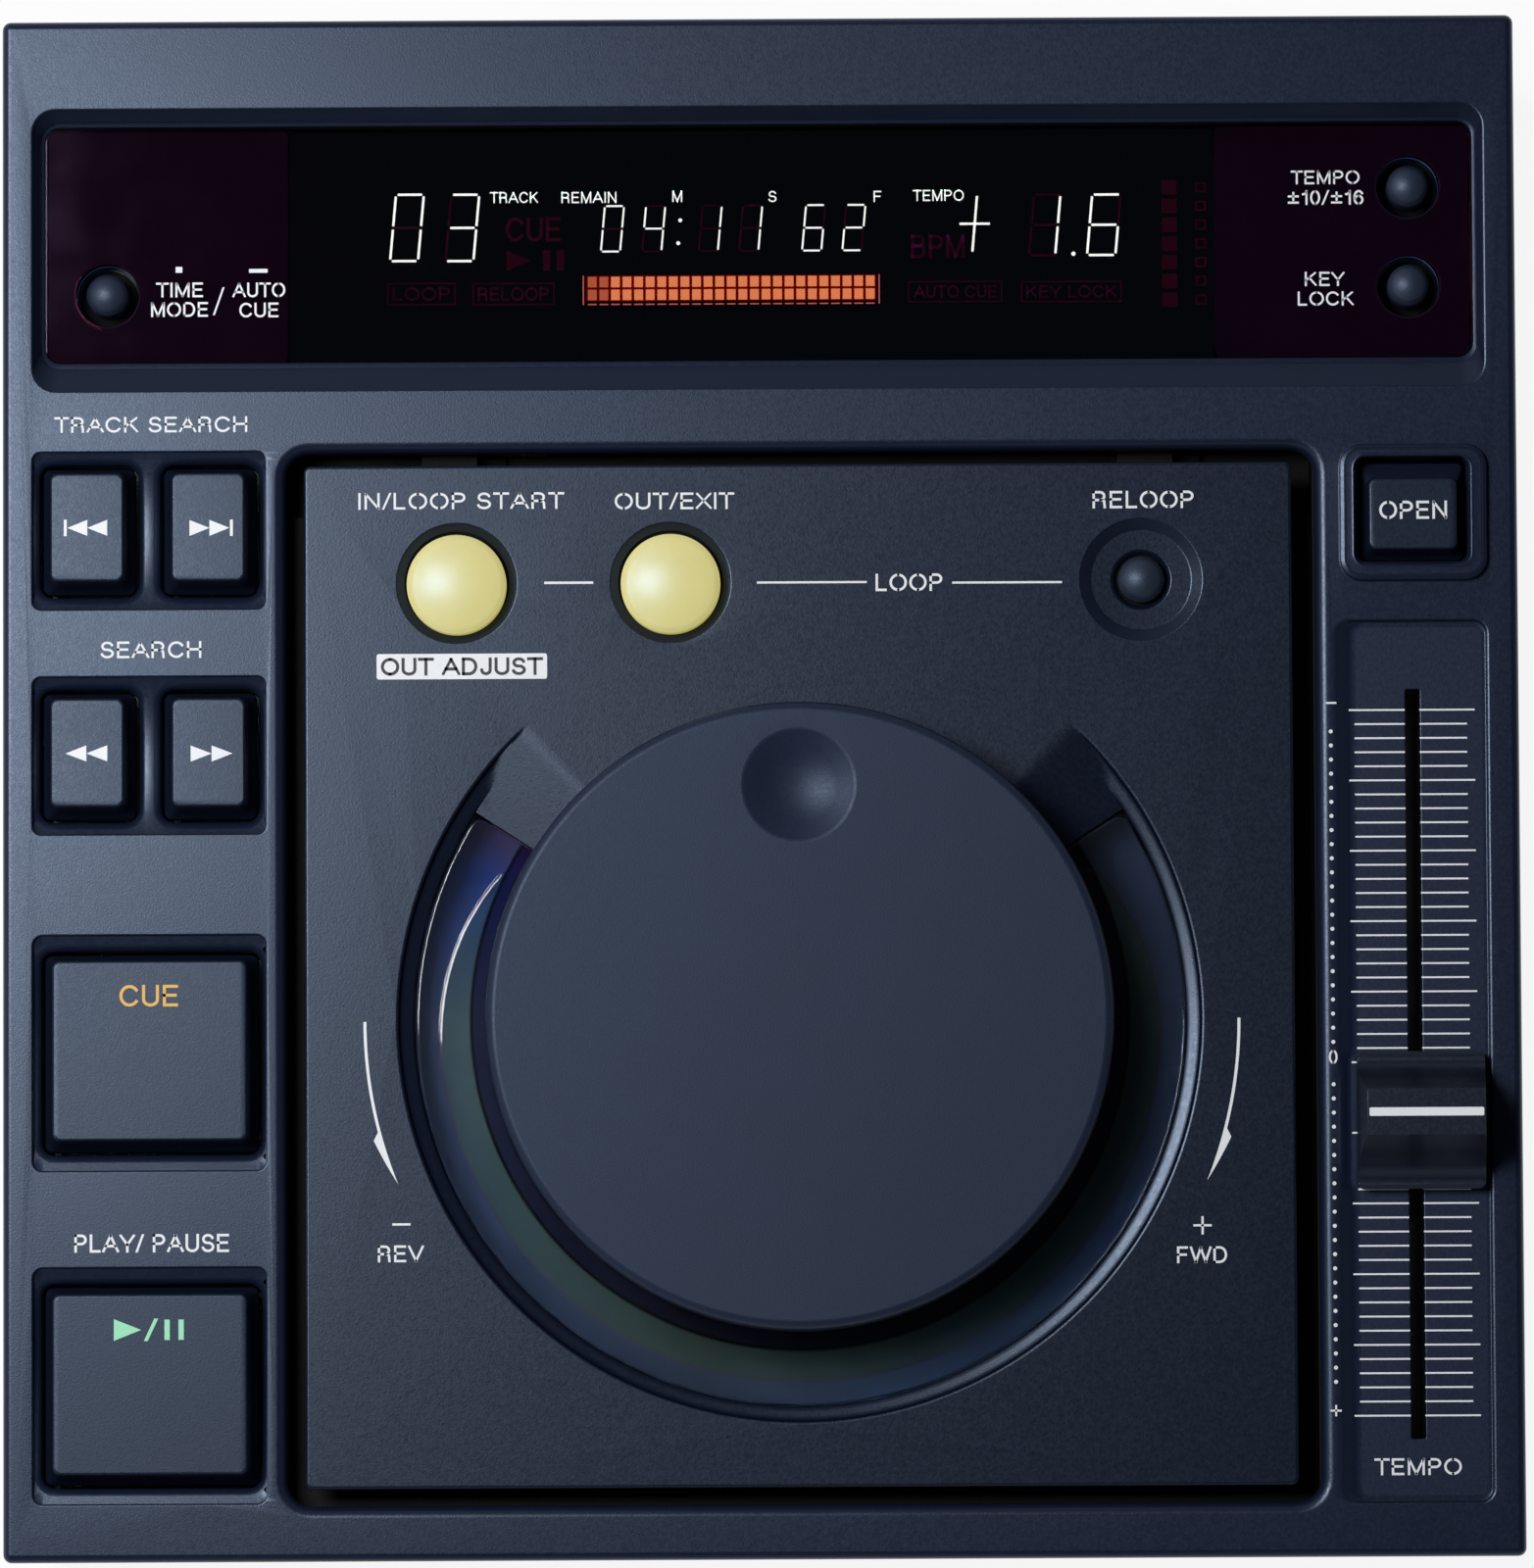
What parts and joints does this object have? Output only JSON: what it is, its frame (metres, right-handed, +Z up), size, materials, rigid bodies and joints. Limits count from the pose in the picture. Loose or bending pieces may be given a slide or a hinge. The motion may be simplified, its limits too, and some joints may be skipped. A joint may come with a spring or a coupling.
{
  "type": "tabletop disc player",
  "caption": "Top-loading tabletop disc player for mixing: hinged lid with a jog dial, key column, tempo fader and smoked display in a flat box.",
  "frame": {"origin": "on the table, under the middle of the casing's outline", "axes": "+X to the right, +Y to the back, +Z up"},
  "size_m": [0.217, 0.221, 0.098],
  "materials": {
    "casing_plastic": "satin, fine grain",
    "lid_plastic": "satin, fine grain",
    "dial_plastic": "satin",
    "key_plastic": "satin, fine grain",
    "loop_key_plastic": "milky, gloss",
    "small_key_plastic": "gloss",
    "knob_plastic": "semi-gloss",
    "inner_plastic": "matte",
    "white_plastic": "matte",
    "black_plastic": "matte",
    "smoked_window": "gloss",
    "smoked_arc": "gloss",
    "tube_glass": "gloss",
    "painted_steel": "matte",
    "zinc_steel": "satin",
    "bright_steel": "polished",
    "brass": "satin",
    "laminated_iron": "matte",
    "circuit_board": "solder mask",
    "rubber": "matte",
    "disc_mirror": "mirror, rainbow",
    "lens_glass": "coated"
  },
  "bodies": {
    "casing": {"top_housing": "casing_plastic", "base_tray": "painted_steel", "rear_panel": "painted_steel", "foot_front_left": "rubber", "foot_front_right": "rubber", "foot_rear_left": "rubber", "foot_rear_right": "rubber", "base_screws": "zinc_steel", "display_window": "smoked_window", "display_tube": "tube_glass", "display_board": "circuit_board", "key_board": "circuit_board", "main_board": "circuit_board", "power_transformer": "laminated_iron", "output_jacks": "brass", "control_jack": "black_plastic", "ac_inlet": "black_plastic", "switch_frame": "black_plastic", "disc_well": "inner_plastic", "mech_chassis": "zinc_steel", "rubber_dampers": "rubber", "inner_screws": "zinc_steel", "spindle_motor": "bright_steel", "guide_rods": "bright_steel", "sled_motor": "bright_steel", "hinge_brackets": "painted_steel", "hinge_pins": "bright_steel", "lid_spring": "bright_steel", "fader_body": "zinc_steel"},
    "lid": {"lid_panel": "lid_plastic", "lid_liner": "inner_plastic", "lid_screws": "zinc_steel", "dial_window": "smoked_arc", "dial_bush": "brass", "lid_board": "circuit_board"},
    "dial": {"jog_dial": "dial_plastic"},
    "spindle": {"turntable": "inner_plastic", "compact_disc": "disc_mirror"},
    "clamp": {"clamp_puck": "inner_plastic"},
    "pickup": {"pickup_sled": "inner_plastic", "pickup_lens": "lens_glass"},
    "gear": {"sled_gear": "white_plastic"},
    "latch": {"latch_slide": "white_plastic"},
    "rocker": {"switch_rocker": "black_plastic"},
    "fader": {"fader_carriage": "white_plastic", "tempo_knob": "knob_plastic"},
    "loop_in_key": {"loop_in_button": "loop_key_plastic"},
    "loop_out_key": {"loop_out_button": "loop_key_plastic"},
    "reloop_key": {"reloop_button": "small_key_plastic"},
    "track_back_key": {"track_back_button": "key_plastic"},
    "track_forward_key": {"track_forward_button": "key_plastic"},
    "search_back_key": {"search_back_button": "key_plastic"},
    "search_forward_key": {"search_forward_button": "key_plastic"},
    "cue_key": {"cue_button": "key_plastic"},
    "play_key": {"play_button": "key_plastic"},
    "open_key": {"open_button": "key_plastic"},
    "time_mode_key": {"time_mode_button": "small_key_plastic"},
    "tempo_range_key": {"tempo_range_button": "small_key_plastic"},
    "key_lock_key": {"key_lock_button": "small_key_plastic"}
  },
  "joints": [
    {"name": "lid_hinge", "type": "hinge", "parent": "casing", "child": "lid", "pos_m": [0.0054, 0.051, 0.076], "axis": [-1, 0, 0], "range_deg": [0, 60]},
    {"name": "dial_spin", "type": "hinge", "parent": "lid", "child": "dial", "pos_m": [0.0054, -0.0336, 0.09], "axis": [0, 0, 1], "continuous": true},
    {"name": "spindle_spin", "type": "hinge", "parent": "casing", "child": "spindle", "pos_m": [0.0054, -0.0336, 0.066], "axis": [0, 0, 1], "continuous": true},
    {"name": "clamp_spin", "type": "hinge", "parent": "lid", "child": "clamp", "pos_m": [0.0054, -0.0336, 0.075], "axis": [0, 0, 1], "continuous": true},
    {"name": "pickup_slide", "type": "slide", "parent": "casing", "child": "pickup", "axis": [-1, 0, 0], "range_m": [0, 0.034]},
    {"name": "gear_spin", "type": "hinge", "parent": "casing", "child": "gear", "pos_m": [-0.045, -0.0026, 0.0585], "axis": [0, 0, 1], "range_deg": [-245, 0]},
    {"name": "open_press", "type": "slide", "parent": "casing", "child": "open_key", "axis": [0, 0, -1], "range_m": [0, 0.0025], "stiffness_N_per_m": 500, "springref_m": -0.003},
    {"name": "latch_move", "type": "slide", "parent": "casing", "child": "latch", "axis": [0, 1, 0], "range_m": [0, 0.0025]},
    {"name": "power_press", "type": "hinge", "parent": "casing", "child": "rocker", "pos_m": [-0.048, 0.097, 0.036], "axis": [1, 0, 0], "range_deg": [0, 14]},
    {"name": "tempo_slide", "type": "slide", "parent": "casing", "child": "fader", "axis": [0, -1, 0], "range_m": [-0.0587, 0.042]},
    {"name": "track_back_press", "type": "slide", "parent": "casing", "child": "track_back_key", "axis": [0, 0, -1], "range_m": [0, 0.0012], "stiffness_N_per_m": 400, "springref_m": -0.0015},
    {"name": "track_forward_press", "type": "slide", "parent": "casing", "child": "track_forward_key", "axis": [0, 0, -1], "range_m": [0, 0.0012], "stiffness_N_per_m": 400, "springref_m": -0.0015},
    {"name": "search_back_press", "type": "slide", "parent": "casing", "child": "search_back_key", "axis": [0, 0, -1], "range_m": [0, 0.0012], "stiffness_N_per_m": 400, "springref_m": -0.0015},
    {"name": "search_forward_press", "type": "slide", "parent": "casing", "child": "search_forward_key", "axis": [0, 0, -1], "range_m": [0, 0.0012], "stiffness_N_per_m": 400, "springref_m": -0.0015},
    {"name": "cue_press", "type": "slide", "parent": "casing", "child": "cue_key", "axis": [0, 0, -1], "range_m": [0, 0.0012], "stiffness_N_per_m": 400, "springref_m": -0.0015},
    {"name": "play_press", "type": "slide", "parent": "casing", "child": "play_key", "axis": [0, 0, -1], "range_m": [0, 0.0012], "stiffness_N_per_m": 400, "springref_m": -0.0015},
    {"name": "loop_in_press", "type": "slide", "parent": "lid", "child": "loop_in_key", "axis": [0, 0, -1], "range_m": [0, 0.0012], "stiffness_N_per_m": 300, "springref_m": -0.0015},
    {"name": "loop_out_press", "type": "slide", "parent": "lid", "child": "loop_out_key", "axis": [0, 0, -1], "range_m": [0, 0.0012], "stiffness_N_per_m": 300, "springref_m": -0.0015},
    {"name": "reloop_press", "type": "slide", "parent": "lid", "child": "reloop_key", "axis": [0, 0, -1], "range_m": [0, 0.0012], "stiffness_N_per_m": 300, "springref_m": -0.0015},
    {"name": "time_mode_press", "type": "slide", "parent": "casing", "child": "time_mode_key", "axis": [0, 0, -1], "range_m": [0, 0.0008], "stiffness_N_per_m": 300, "springref_m": -0.001},
    {"name": "tempo_range_press", "type": "slide", "parent": "casing", "child": "tempo_range_key", "axis": [0, 0, -1], "range_m": [0, 0.0008], "stiffness_N_per_m": 300, "springref_m": -0.001},
    {"name": "key_lock_press", "type": "slide", "parent": "casing", "child": "key_lock_key", "axis": [0, 0, -1], "range_m": [0, 0.0008], "stiffness_N_per_m": 300, "springref_m": -0.001}
  ],
  "couplings": [
    {"joint": "clamp_spin", "follows": "spindle_spin", "ratio": 1},
    {"joint": "gear_spin", "follows": "pickup_slide", "rad_per_m": -125},
    {"joint": "latch_move", "follows": "open_press", "ratio": 1}
  ]
}
